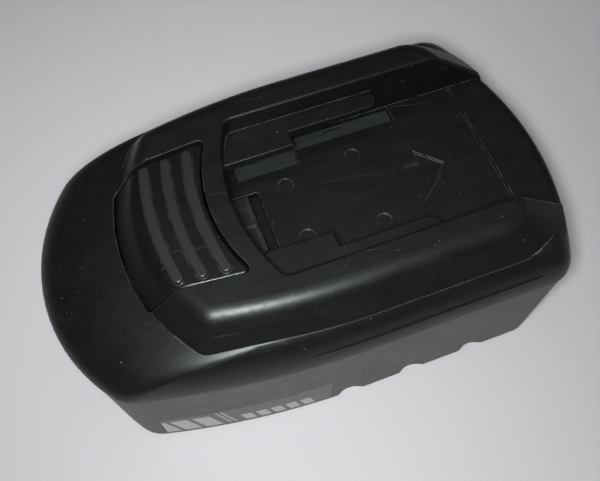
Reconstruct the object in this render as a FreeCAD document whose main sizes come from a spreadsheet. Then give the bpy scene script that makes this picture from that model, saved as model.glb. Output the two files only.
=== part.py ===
import FreeCAD, Part
import Sketcher
import math
import os

from FreeCAD import Placement, Rotation, Vector

os.makedirs("parts", exist_ok=True)
doc = FreeCAD.newDocument("battery_pack")

# Driving dimensions, in millimetres and degrees
SIZES = [
    ("cell_radius", "11.05", "sub-C cell in its sleeve"),
    ("cell_height", "42.5", "sub-C cell with its button"),
    ("cell_gap", "0.05", "gap between neighbouring cells"),
    ("side_room", "0.9", "between the outer cells and the wall at the base"),
    ("tail_room", "13.2", "between the last outer cells and the tail"),
    ("wall", "2.3", "wall of both housings"),
    ("parting_height", "45.1", "where the two housings meet"),
    ("bay_depth", "16.9", "deck above the floor of the slide bay"),
    ("deck_step", "8.7", "deck above the level that the shoulder rises to"),
    ("base_wall", "2.5", "bottom of the lower housing"),
    ("draft_inset", "1.7", "how far the lower housing draws in at its base"),
    ("base_round", "2.4", "rounding of the bottom edge"),
    ("nose_radius", "55.0", "plan radius of the nose"),
    ("shoulder_radius", "10.0", "plan radius between nose and side at the parting line"),
    ("side_radius", "280.0", "plan radius of the long side curve"),
    ("side_straight_start", "6.2", "where the side turns straight"),
    ("tail_corner_radius", "8.0", "plan radius of the tail corners"),
    ("tail_radius", "90.0", "plan radius of the tail"),
    ("shoulder_width", "7.5", "sideways reach of the rounded shoulder"),
    ("nose_reach", "40.4", "lengthways reach of the domed nose"),
    ("tail_reach", "17.5", "lengthways reach of the rounded tail"),
    ("reveal", "0.4", "step of the lower housing behind the parting line"),
    ("tongue_height", "2.0", "tongue of the lower housing"),
    ("tongue_thickness", "0.9", "tongue of the lower housing"),
    ("fit_gap", "0.15", "gap between fixed pieces that plug together"),
    ("slide_gap", "0.35", "gap round the moving latch"),
    ("deck_side_set", "4.6", "foot of the deck in from the side"),
    ("deck_side_radius", "213.5", "plan radius of the deck's front side curve"),
    ("deck_corner_radius", "13.7", "plan radius of the deck's tail corners"),
    ("deck_tail_radius", "85.0", "plan radius of the deck's tail"),
    ("deck_tail_set", "8.3", "foot of the deck ahead of the tail"),
    ("deck_side_slope", "58", "slope of the deck's flank"),
    ("deck_tail_slope", "39", "slope of the rails' tail ends"),
    ("deck_crease_drop", "10.05", "foot of the deck's slopes below the deck"),
    ("deck_round", "6.0", "rounding between the deck and its slopes"),
    ("deck_front_radius", "56.7", "plan radius of the deck's front"),
    ("deck_front_set", "25.35", "front of the deck behind the nose tip"),
    ("deck_front_slope", "51.5", "slope of the deck's front facet"),
    ("deck_front_corner", "7.0", "rounding between the front facet and the flanks"),
    ("deck_root", "6.5", "how far the flank runs on into the shoulder"),
    ("heel_drop", "14.7", "where the rails' tail ends turn steep, below the deck"),
    ("heel_run", "0.9", "lengthways run of the steep part"),
    ("rail_round", "0.8", "rounded edge where the deck meets the slide bay"),
    ("lip_round", "0.4", "rounded edges of the lips"),
    ("rim_round", "0.4", "rounded lower edge of the upper housing"),
    ("bay_width", "53.0", "clear width of the slide bay between the rails"),
    ("bay_nose_set", "59.0", "bay's rounded end behind the nose tip"),
    ("bay_nose_radius", "59.8", "plan radius of the bay's rounded end"),
    ("bay_corner_radius", "3.0", "corners of the bay's rounded end"),
    ("bay_floor_wall", "2.3", "thickness of the bay floor"),
    ("tail_round", "4.0", "rounding of the floor's tail edge"),
    ("lip_top_drop", "6.3", "lip top below the deck"),
    ("lip_thickness", "2.1", "rail lips"),
    ("lip_step", "0.7", "extra thickness of the stepped lip halves"),
    ("front_step_length", "13.1", "thicker part of the front lips"),
    ("rear_step_length", "13.2", "thicker part of the rear lips"),
    ("front_lip_reach", "11.0", "overhang of the front lips"),
    ("front_lip_length", "23.9", "front lips behind the bay's end"),
    ("rear_lip_reach", "6.0", "overhang of the rear lips"),
    ("rear_lip_length", "26.3", "rear lips behind the front lips"),
    ("lip_end_radius", "3.0", "rounded end of the rear lips"),
    ("front_window_length", "25.7", "floor window under the front lip"),
    ("rear_window_length", "33.8", "floor window under the rear lip"),
    ("window_set", "5.8", "floor windows behind the bay's end"),
    ("window_margin", "0.3", "floor windows in from the rail wall"),
    ("groove_width", "2.6", "cross groove near the tail"),
    ("groove_depth", "1.3", "cross groove near the tail"),
    ("groove_set", "20.3", "cross groove ahead of the tail"),
    ("arrow_tail_set", "48.1", "arrow's tail ahead of the housing's tail"),
    ("arrow_length", "16.0", "recessed arrow"),
    ("arrow_head_length", "7.2", "recessed arrow"),
    ("arrow_head_width", "14.6", "recessed arrow"),
    ("arrow_shaft_width", "5.7", "recessed arrow"),
    ("arrow_depth", "0.8", "recessed arrow"),
    ("ejector_radius", "2.4", "round ejector marks"),
    ("ejector_depth", "0.25", "round ejector marks"),
    ("ejector_front_spread", "19.0", "distance between the front marks"),
    ("ejector_front_set", "18.7", "front marks behind the bay's end"),
    ("ejector_rear_spread", "24.8", "distance between the rear marks"),
    ("ejector_rear_set", "41.8", "rear marks behind the bay's end"),
    ("slot_length", "6.3", "latch recess and slot behind the bay's end"),
    ("slot_lead", "6.0", "latch tunnel ahead of the bay's end"),
    ("slot_extra", "3.5", "open slot behind the latch"),
    ("slot_width", "20.2", "latch slot across the bay"),
    ("latch_tunnel_height", "1.4", "clearance of the latch tunnel over the floor"),
    ("button_front_radius", "65.0", "plan radius of the button's front"),
    ("button_front_width", "39.8", "button opening at the front"),
    ("button_rear_width", "45.4", "button opening at the rear"),
    ("button_rear_radius", "46.5", "plan radius of the button's rear"),
    ("button_length", "27.2", "button opening, front to rear"),
    ("button_corner", "1.8", "corner radius of the button opening"),
    ("button_gap", "0.6", "gap round the button in its opening"),
    ("button_wall", "1.8", "top and skirt of the button"),
    ("button_slope_drop", "0.3", "button's sloping front below the deck's facet"),
    ("button_top_drop", "0.8", "button's level top below the deck"),
    ("button_front_round", "8.0", "rounding between the button's front and its top"),
    ("button_edge", "0.6", "rounded edge of the button's top"),
    ("button_boss_radius", "2.6", "screw bosses under the button"),
    ("button_boss_spread", "19.5", "distance between the button's screw bosses"),
    ("button_pilot_depth", "6.5", "pilot holes in the button's bosses"),
    ("button_rib_count", "3", "ribs on the button"),
    ("button_rib_width", "3.1", "ribs on the button"),
    ("button_rib_height", "1.1", "ribs on the button"),
    ("button_rib_round", "0.6", "rounded edges of the ribs"),
    ("button_rib_inset", "1.5", "ends of the ribs in from the button's sides"),
    ("button_rib_pitch", "6.2", "ribs on the button"),
    ("button_rib_radius", "86.0", "plan radius of the ribs"),
    ("button_rib_set", "3.2", "rearmost rib ahead of the opening's rear"),
    ("collar_wall", "1.6", "guide collar round the button"),
    ("collar_gap", "0.5", "lower end of the collar above the latch plate"),
    ("latch_drop", "0.1", "latch plate at rest below the bay floor"),
    ("latch_room", "0.4", "room under the latch plate when it is pressed"),
    ("latch_thickness", "2.0", "latch plate"),
    ("latch_wide", "45.0", "latch plate under the button"),
    ("latch_front_set", "22.5", "latch plate's front behind the nose tip"),
    ("latch_shoulder_set", "48.0", "end of the wide part behind the nose tip"),
    ("latch_rib", "0.8", "ribs on the latch plate"),
    ("latch_corner", "3.0", "corners of the latch plate's wide part"),
    ("latch_screw_length", "7.5", "screws that hold the latch plate to the button"),
    ("press_travel", "3.0", "travel of the button and latch"),
    ("frame_thickness", "2.5", "latch frame"),
    ("frame_length", "26.0", "latch frame"),
    ("frame_width", "60.0", "latch frame"),
    ("frame_cell_gap", "1.6", "between the latch frame and the foremost cells"),
    ("frame_front_set", "18.0", "latch frame behind the nose tip"),
    ("frame_post_radius", "3.0", "posts that carry the latch frame"),
    ("frame_post_inset", "3.6", "posts in from the frame's edges"),
    ("frame_screw_length", "9.0", "screws that hold the latch frame"),
    ("screw_tip_gap", "0.5", "room beyond the tips of the screws"),
    ("spring_length", "9.6", "button springs at rest"),
    ("spring_radius", "2.9", "button springs, mean radius"),
    ("spring_wire", "0.8", "wire diameter of the button springs"),
    ("spring_turns", "5", "free turns of each button spring"),
    ("spring_spread", "32.0", "distance between the button springs"),
    ("spring_set", "33.5", "springs behind the nose tip"),
    ("spring_pin_radius", "1.9", "pins inside the springs"),
    ("spring_pin_height", "3.0", "lower pins inside the springs"),
    ("latch_pin_height", "1.5", "upper pins inside the springs"),
    ("cell_button_height", "0.8", "raised button of a cell"),
    ("cell_button_radius", "4.6", "raised button of a cell"),
    ("strap_thickness", "0.2", "nickel straps"),
    ("strap_width", "7.0", "nickel straps"),
    ("strap_overhang", "4.0", "nickel straps beyond the middle of a cell"),
    ("tab_length", "17.5", "end tabs of the chain"),
    ("card_thickness", "0.4", "insulator cards"),
    ("card_inset", "4.2", "insulator cards inside the housing outline"),
    ("card_gap", "0.3", "gap round the insulator cards"),
    ("foam_thickness", "3.0", "foam pad at the nose end of the cells"),
    ("foam_width", "42.0", "foam pad"),
    ("partition_height", "26.0", "cross rib that holds the foam pad"),
    ("grip_count", "3", "finger scallops on each side"),
    ("grip_radius", "7.0", "finger scallops"),
    ("grip_depth", "1.8", "finger scallops at the bottom edge"),
    ("grip_height", "33.0", "where the scallops run out"),
    ("grip_offset", "1.2", "scallops behind the valleys between cells"),
    ("screw_radius", "1.45", "housing screws"),
    ("screw_head_radius", "2.9", "housing screws"),
    ("screw_head_height", "2.2", "housing screws"),
    ("screw_length", "14.4", "housing screws under the head"),
    ("screw_skin", "1.3", "between the screw tips and the bay floor"),
    ("screw_gap", "0.05", "gap round the screws"),
    ("screw_head_gap", "0.5", "gap round the heads of the housing screws"),
    ("screw_head_round", "0.7", "rounded edge of the screw heads"),
    ("drive_span", "3.5", "cross-shaped drive of the screws"),
    ("drive_width", "0.8", "cross-shaped drive of the screws"),
    ("drive_depth", "1.1", "cross-shaped drive of the screws"),
    ("boss_radius", "4.4", "lower screw bosses"),
    ("pilot_radius", "3.4", "upper screw bosses"),
    ("nose_screw_set", "12.2", "nose screws behind the nose tip"),
    ("tail_screw_set", "9.6", "tail screws ahead of the tail"),
    ("screw_spread", "24.0", "distance between the screws of a pair"),
    ("carrier_plate", "1.5", "flange of the contact carriers"),
    ("carrier_drop", "1.6", "carrier top below the bay floor"),
    ("carrier_flange", "1.6", "flange of the carriers under the floor"),
    ("terminal_thickness", "0.8", "terminal strip"),
    ("terminal_length", "12.0", "power terminals"),
    ("sense_length", "6.0", "sense terminal"),
    ("terminal_height", "6.0", "terminals above the carrier"),
    ("terminal_gap", "0.1", "gap round the blades in their carriers"),
    ("terminal_set", "1.1", "terminal blades in from the rail wall"),
    ("terminal_foot", "8.4", "foot of the terminals beyond the blade"),
    ("power_terminal_set", "9.0", "power terminals behind the bay's end"),
    ("sense_terminal_set", "37.0", "sense terminal behind the bay's end"),
    ("lead_radius", "1.2", "power leads"),
    ("sense_lead_radius", "0.7", "sense lead"),
    ("lead_bend", "4.5", "bends of the power leads"),
    ("sense_lead_bend", "3.0", "bends of the sense lead"),
    ("lead_gap", "0.9", "power lead beside the rail wall"),
    ("sense_lead_gap", "0.8", "sense lead beside the power lead"),
    ("lead_hole_gap", "1.0", "hole for the lead in the top card"),
    ("terminal_lift", "0.4", "terminal feet above the top card"),
    ("lead_set", "5.3", "rising lead ahead of the empty cell place"),
    ("lead_overlap", "2.0", "lead ends over the terminal feet"),
    ("cutout_length", "11.0", "thermal cut-out"),
    ("cutout_width", "7.0", "thermal cut-out"),
    ("cutout_height", "4.0", "thermal cut-out"),
    ("cutout_set", "4.0", "thermal cut-out ahead of the bay's end"),
    ("cutout_gap", "0.4", "thermal cut-out beside the rail wall"),
    ("label_length", "53.5", "side labels"),
    ("label_height", "16.6", "side labels"),
    ("label_thickness", "0.25", "side labels"),
    ("label_low", "3.5", "lower edge of the side labels above the table"),
    ("label_nose_set", "19.2", "side labels behind the nose tip"),
    ("label_gap", "0.1", "gap round the side labels"),
]

sheet = doc.addObject("Spreadsheet::Sheet", "sizes")
for row, (alias, value, note) in enumerate(SIZES, start=1):
    sheet.set("A%d" % row, alias)
    sheet.set("B%d" % row, value)
    sheet.set("C%d" % row, note)
    sheet.setAlias("B%d" % row, alias)
doc.recompute()


def size(alias):
    """The value of one driving dimension."""
    return float(sheet.get(alias))


def total(terms):
    """The sum of driving dimensions, each times its factor."""
    return sum(factor * size(alias) for alias, factor in terms)


def formula(terms):
    """The same sum as an expression on the sheet."""
    return " + ".join("%g * sizes.%s" % (factor, alias) for alias, factor in terms)


# Sums that set the overall size: four rows of cells, which nest half a pitch apart
NOSE_ROOM = [("frame_front_set", 1), ("frame_length", 1), ("frame_cell_gap", 1)]
LENGTH = NOSE_ROOM + [("cell_radius", 9), ("cell_gap", 3.5), ("tail_room", 1)]
CELL_LOW = [("base_wall", 1), ("card_thickness", 1), ("strap_thickness", 1)]
BLOCK_TOP = [("base_wall", 1), ("card_thickness", 2), ("strap_thickness", 2), ("cell_height", 1)]
LATCH_LOW = BLOCK_TOP + [("latch_room", 1), ("press_travel", 1)]

SUB_PARTS = []


def feature(label, shape):
    """A sub-part whose shape is worked out here."""
    part = doc.addObject("Part::Feature", label)
    part.Shape = shape
    part.Placement = Placement()
    SUB_PARTS.append(part)
    return part


# Places that several pieces share
wall = size("wall")
pitch = 2 * size("cell_radius") + size("cell_gap")
inner_y = pitch / 2
outer_y = inner_y + pitch * math.sqrt(3) / 2
half_length = total(LENGTH) / 2
half_width = outer_y + size("cell_radius") + size("side_room") + wall + size("draft_inset")
nose_tip = -half_length
block_top = total(BLOCK_TOP)
latch_low = total(LATCH_LOW)
latch_top = latch_low + size("latch_thickness")
frame_top = latch_low - size("spring_length")
floor = latch_top + size("latch_drop")
floor_under = floor - size("bay_floor_wall")
parting = size("parting_height")
deck = floor + size("bay_depth")
deck_crease = deck - size("deck_crease_drop")
shoulder_rise = deck - parting - size("deck_step")
screw_seat = floor - size("screw_skin") - size("screw_length")
bay_half = size("bay_width") / 2
bay_end = nose_tip + size("bay_nose_set")
deck_front = nose_tip + size("deck_front_set")
gap = size("slide_gap")
fit = size("fit_gap")

# How far a cutter or an overlap for a join runs past a face, and past the whole housing
past = 1.0
clear = 10.0

# Nearness at which two heights or widths count as the same
near_enough = 0.01


def box(low_x, high_x, low_y, high_y, low_z, high_z):
    """A block between two opposite corners."""
    return Part.makeBox(high_x - low_x, high_y - low_y, high_z - low_z, Vector(low_x, low_y, low_z))


def both_sides(shape):
    """A shape together with its mirror image across the middle plane."""
    return shape.fuse(shape.mirror(Vector(0, 0, 0), Vector(0, 1, 0)))


def arc_about(centre, start, end):
    """The shorter arc from start to end about a centre."""
    middle = (start - centre) + (end - centre)
    middle.normalize()
    radius = (start - centre).Length
    return Part.Arc(start, centre + middle * radius, end).toShape()


def prism(wire, height):
    """A closed outline carried straight up."""
    return Part.Face(wire).extrude(Vector(0, 0, height))


def mirrored_outline(upper):
    """Closes a chain of edges above the middle plane with its mirror image."""
    lower = [edge.mirror(Vector(0, 0, 0), Vector(0, 1, 0)) for edge in upper]
    return Part.Wire(Part.__sortEdges__(upper + lower))


def corner_on_tail(tail_x, tail_r, half_w, corner_r):
    """Centre of a corner arc that touches the straight side and the tail arc."""
    tail_c = Vector(tail_x - tail_r, 0, 0)
    centre_y = half_w - corner_r
    centre_x = tail_c.x + math.sqrt((tail_r - corner_r) ** 2 - centre_y ** 2)
    centre = Vector(centre_x, centre_y, 0)
    touch = tail_c + (centre - tail_c) * (tail_r / (tail_r - corner_r))
    return tail_c, centre, touch


def body_outline(height, side_in, nose_in, tail_in):
    """Plan outline of the housing at a height, drawn in at the sides, nose and tail.

    The nose is one arc, blended by a shoulder arc into the long side curve, which turns
    straight and ends in a tail corner and the wide tail arc. The shoulder arc grows softer as
    the nose draws in.
    """
    half_w = half_width - side_in
    nose_x = nose_tip + nose_in
    tail_x = half_length - tail_in
    nose_r = size("nose_radius")
    side_r = size("side_radius")
    softening = 0.5
    blend_r = size("shoulder_radius") + softening * nose_in
    straight_x = size("side_straight_start")
    corner_r = size("tail_corner_radius") - min(side_in, tail_in) / 2
    tail_c, corner_c, tail_touch = corner_on_tail(tail_x, size("tail_radius"), half_w, corner_r)
    nose_c = Vector(nose_x + nose_r, 0, 0)
    side_c = Vector(straight_x, half_w - side_r, 0)
    blend_c = circle_crossing(nose_c, nose_r - blend_r, side_c, side_r - blend_r)
    nose_touch = nose_c + (blend_c - nose_c) * (nose_r / (nose_r - blend_r))
    side_touch = side_c + (blend_c - side_c) * (side_r / (side_r - blend_r))
    side_top = Vector(straight_x, half_w, 0)
    corner_top = Vector(corner_c.x, half_w, 0)
    tail_tip = Vector(tail_x, 0, 0)
    nose_point = Vector(nose_x, 0, 0)
    upper = [
        arc_about(tail_c, tail_tip, tail_touch),
        arc_about(corner_c, tail_touch, corner_top),
        Part.makeLine(corner_top, side_top),
        arc_about(side_c, side_top, side_touch),
        arc_about(blend_c, side_touch, nose_touch),
        arc_about(nose_c, nose_touch, nose_point),
    ]
    wire = mirrored_outline(upper)
    wire.translate(Vector(0, 0, height))
    return wire


def circle_crossing(first, first_r, second, second_r):
    """The crossing of two circles that lies further from the middle plane towards the nose."""
    across = second - first
    reach = across.Length
    along = (first_r ** 2 - second_r ** 2 + reach ** 2) / (2 * reach)
    aside = math.sqrt(first_r ** 2 - along ** 2)
    across.normalize()
    normal = Vector(-across.y, across.x, 0)
    base = first + across * along
    choices = [base + normal * aside, base - normal * aside]
    return min(choices, key=lambda point: point.x)


def dome(inset):
    """The rounded top of the housing, or its inner face when inset by the wall.

    Each section follows a quarter ellipse: the outline draws in by reach times one minus
    the cosine while the height rises with the sine.
    """
    sections = []
    for degrees in (0, 14, 28, 41, 53, 64, 74):
        cosine = math.cos(math.radians(degrees))
        sine = math.sin(math.radians(degrees))
        side_in = size("shoulder_width") * (1 - cosine) + inset * cosine
        nose_in = size("nose_reach") * (1 - cosine) + inset * cosine
        tail_in = size("tail_reach") * (1 - cosine) + inset * cosine
        height = parting + shoulder_rise * sine - inset * sine
        sections.append(body_outline(height, side_in, nose_in, tail_in))
    return Part.makeLoft(sections, True, False)


def flank_outline(height, side_in, tail_in):
    """Plan outline of the raised deck at a height, open-ended towards the nose."""
    corner_share = 0.6
    half_w = half_width - size("deck_side_set") - side_in
    tail_x = half_length - size("deck_tail_set") - tail_in
    corner_r = max(size("deck_corner_radius") - corner_share * min(side_in, tail_in), past)
    side_r = size("deck_side_radius")
    straight_x = size("side_straight_start")
    front_x = deck_front - size("deck_root")
    tail_c, corner_c, tail_touch = corner_on_tail(tail_x, size("deck_tail_radius"), half_w, corner_r)
    side_c = Vector(straight_x, half_w - side_r, 0)
    front_y = side_c.y + math.sqrt(side_r ** 2 - (front_x - straight_x) ** 2)
    side_top = Vector(straight_x, half_w, 0)
    corner_top = Vector(corner_c.x, half_w, 0)
    front_point = Vector(front_x, front_y, 0)
    upper = [
        arc_about(tail_c, Vector(tail_x, 0, 0), tail_touch),
        arc_about(corner_c, tail_touch, corner_top),
        Part.makeLine(corner_top, side_top),
        arc_about(side_c, side_top, front_point),
        Part.makeLine(front_point, Vector(front_x, 0, 0)),
    ]
    wire = mirrored_outline(upper)
    wire.translate(Vector(0, 0, height))
    return wire


def front_slope(inset):
    """Everything behind the sloping front facet of the deck, whose arc spans nearly a half circle at most."""
    arc_share = 0.95
    radius = size("deck_front_radius")
    low_z = parting
    rise = deck + clear - low_z
    slope = math.tan(math.radians(size("deck_front_slope")))
    setback = inset / math.sin(math.radians(size("deck_front_slope")))
    apex = deck_front + setback + (low_z - deck_crease) / slope
    centre = Vector(apex + radius, 0, low_z)
    edge_y = min(half_width, arc_share * radius)
    edge_x = centre.x - math.sqrt(radius ** 2 - edge_y ** 2)
    tail_x = half_length + clear
    near = Vector(edge_x, -edge_y, low_z)
    far = Vector(edge_x, edge_y, low_z)
    near_tail = Vector(tail_x, -edge_y, low_z)
    far_tail = Vector(tail_x, edge_y, low_z)
    front = Part.Wire([Part.Arc(near, Vector(apex, 0, low_z), far).toShape()])
    lean = Vector(rise / slope, 0, rise)
    side = Part.Wire([Part.makeLine(far, far_tail), Part.makeLine(far_tail, near_tail),
                      Part.makeLine(near_tail, near)])
    return Part.Face(Part.Wire(front.Edges + side.Edges)).extrude(lean)


def raised_deck(inset):
    """The raised deck with its sloping flanks, front and rail ends.

    Straight slopes rise from the shoulder to the level top and are rounded off into it. The
    rail ends turn steep near the floor of the bay.
    """
    side_slope = math.radians(size("deck_side_slope"))
    tail_slope = math.radians(size("deck_tail_slope"))
    root = deck_crease - size("deck_root")
    heel = deck - size("heel_drop")
    sections = []
    for height in (root, heel, deck - inset):
        side_in = (height - deck_crease) / math.tan(side_slope) + inset / math.sin(side_slope)
        sloping = max(height, heel)
        tail_in = (sloping - deck_crease) / math.tan(tail_slope) + inset / math.sin(tail_slope)
        if height < heel:
            tail_in -= size("heel_run")
        sections.append(flank_outline(height, side_in, tail_in))
    body = Part.makeLoft(sections, True, True).common(front_slope(inset))
    if inset > 0:
        return body
    corners = [edge for edge in body.Edges
               if edge.BoundBox.XMax < bay_end and edge.BoundBox.ZMin > deck_crease - size("deck_root")
               and edge.BoundBox.ZMax > deck - near_enough and edge.BoundBox.ZLength > wall]
    body = body.makeFillet(size("deck_front_corner"), corners)
    top_edges = [edge for edge in body.Edges if edge.BoundBox.ZMin > deck - near_enough]
    return body.makeFillet(size("deck_round"), top_edges)


def bay_outline(grow):
    """Plan outline of the slide bay, open at the tail, grown all round."""
    radius = size("bay_nose_radius") + grow
    corner_r = size("bay_corner_radius") + grow
    half = bay_half + grow
    centre = Vector(bay_end + size("bay_nose_radius"), 0, 0)
    corner_y = half - corner_r
    corner_c = Vector(centre.x - math.sqrt((radius - corner_r) ** 2 - corner_y ** 2), corner_y, 0)
    touch = centre + (corner_c - centre) * (radius / (radius - corner_r))
    corner_top = Vector(corner_c.x, half, 0)
    tail_x = half_length + clear
    upper = [
        arc_about(centre, Vector(centre.x - radius, 0, 0), touch),
        arc_about(corner_c, touch, corner_top),
        Part.makeLine(corner_top, Vector(tail_x, half, 0)),
        Part.makeLine(Vector(tail_x, half, 0), Vector(tail_x, 0, 0)),
    ]
    return mirrored_outline(upper)


def bay_space(grow, low_z):
    """The room inside the slide bay's outline, from a height up past the deck."""
    wire = bay_outline(grow)
    wire.translate(Vector(0, 0, low_z))
    return prism(wire, deck + clear - low_z)


def button_outline(grow):
    """Plan outline of the button opening, grown all round.

    A wide front arc, two nearly parallel sides and a tighter rear arc; both arcs bulge to the nose.
    """
    front_half = size("button_front_width") / 2 + grow
    rear_half = size("button_rear_width") / 2 + grow
    front_apex = Vector(deck_front - grow, 0, 0)
    rear_apex = Vector(deck_front + size("button_length") + grow, 0, 0)
    front_r = size("button_front_radius") + grow
    rear_r = size("button_rear_radius") - grow
    front_x = front_apex.x + front_r - math.sqrt(front_r ** 2 - front_half ** 2)
    rear_x = rear_apex.x + rear_r - math.sqrt(rear_r ** 2 - rear_half ** 2)
    near_front = Vector(front_x, -front_half, 0)
    far_front = Vector(front_x, front_half, 0)
    near_rear = Vector(rear_x, -rear_half, 0)
    far_rear = Vector(rear_x, rear_half, 0)
    return Part.Wire([
        Part.Arc(near_front, front_apex, far_front).toShape(),
        Part.makeLine(far_front, far_rear),
        Part.Arc(far_rear, rear_apex, near_rear).toShape(),
        Part.makeLine(near_rear, near_front),
    ])


def button_space(grow, low_z, high_z):
    """The room inside the button opening's outline, with rounded corners."""
    wire = button_outline(grow)
    wire.translate(Vector(0, 0, low_z))
    solid = prism(wire, high_z - low_z)
    upright = [edge for edge in solid.Edges
               if edge.BoundBox.ZLength > high_z - low_z - near_enough
               and edge.BoundBox.XLength < near_enough]
    return solid.makeFillet(max(size("button_corner") + grow, size("button_corner") / 3), upright)


def is_upright(edge):
    """Whether an edge runs straight up."""
    return edge.BoundBox.XLength < near_enough and edge.BoundBox.YLength < near_enough


def lies_between(edge, inner, outer):
    """Whether the middle of an edge lies inside one solid and outside another."""
    middle = edge.valueAt((edge.FirstParameter + edge.LastParameter) / 2)
    tolerance = near_enough / 10
    return outer.isInside(middle, tolerance, True) and not inner.isInside(middle, tolerance, True)


def lips():
    """The stepped lips that overhang the bay floor on both sides."""
    top = deck - size("lip_top_drop")
    front_end = bay_end + size("front_lip_length")
    rear_end = front_end + size("rear_lip_length")
    root = bay_half + wall / 2
    thin = size("lip_thickness")
    thick = thin + size("lip_step")
    front_in = bay_half - size("front_lip_reach")
    rear_in = bay_half - size("rear_lip_reach")
    nose_root = bay_end - wall / 2
    front_half_x = bay_end + size("front_step_length")
    rear_half_x = front_end + size("rear_step_length")
    front = box(nose_root, front_end, front_in, root, top - thin, top)
    front = front.fuse(box(nose_root, front_half_x, front_in, root, top - thick, top))
    rear = box(front_end - past, rear_end, rear_in, root, top - thin, top)
    rear = rear.fuse(box(front_end - past, rear_half_x, rear_in, root, top - thick, top))
    far_corner = box(rear_end, rear_end + size("lip_end_radius"), rear_in + size("lip_end_radius"), root,
                     top - thin, top)
    round_end = Part.makeCylinder(size("lip_end_radius"), thin,
                                  Vector(rear_end, rear_in + size("lip_end_radius"), top - thin))
    side = front.fuse([rear, far_corner, round_end]).removeSplitter()
    rims = [edge for edge in side.Edges
            if edge.BoundBox.ZMin > top - near_enough and edge.BoundBox.YMin < bay_half
            and edge.BoundBox.XMin > nose_root - near_enough and edge.BoundBox.XMax > bay_end]
    side = side.makeFillet(size("lip_round"), rims)
    return both_sides(side).common(bay_space(wall / 2, floor))


def floor_windows(grow, low_z, high_z):
    """The two-step windows in the bay floor under the lips."""
    start = bay_end + size("window_set") - grow
    front_end = bay_end + size("front_window_length")
    rear_end = front_end + size("rear_window_length")
    outer = bay_half - size("window_margin") + grow
    front_in = bay_half - size("front_lip_reach") - grow
    rear_in = bay_half - size("rear_lip_reach") - grow
    front = box(start, front_end + grow, front_in, outer, low_z, high_z)
    rear = box(front_end - past, rear_end + grow, rear_in, outer, low_z, high_z)
    return front.fuse(rear)


def arrow(low_z, high_z):
    """The plain arrow moulded into the floor, pointing to the tail."""
    start = half_length - size("arrow_tail_set")
    tip = start + size("arrow_length")
    neck = tip - size("arrow_head_length")
    shaft = size("arrow_shaft_width") / 2
    head = size("arrow_head_width") / 2
    corners = [(start, -shaft), (neck, -shaft), (neck, -head), (tip, 0), (neck, head), (neck, shaft),
               (start, shaft)]
    points = [Vector(x, y, low_z) for x, y in corners]
    return prism(Part.makePolygon(points + points[:1]), high_z - low_z)


def screw_places():
    """Plan places of the four housing screws."""
    spread = size("screw_spread") / 2
    nose_x = nose_tip + size("nose_screw_set")
    tail_x = half_length - size("tail_screw_set")
    return [Vector(x, y, 0) for x in (nose_x, tail_x) for y in (-spread, spread)]


def frame_post_places():
    """Plan places of the four posts that carry the latch frame."""
    inset = size("frame_post_inset")
    low_x = nose_tip + size("frame_front_set")
    high_x = low_x + size("frame_length")
    half = size("frame_width") / 2
    return [Vector(x, y, 0) for x in (low_x + inset, high_x - inset) for y in (inset - half, half - inset)]


def upright_cylinder(place, radius, low_z, high_z):
    """A cylinder along Z over a place in plan."""
    return Part.makeCylinder(radius, high_z - low_z, Vector(place.x, place.y, low_z))


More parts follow.
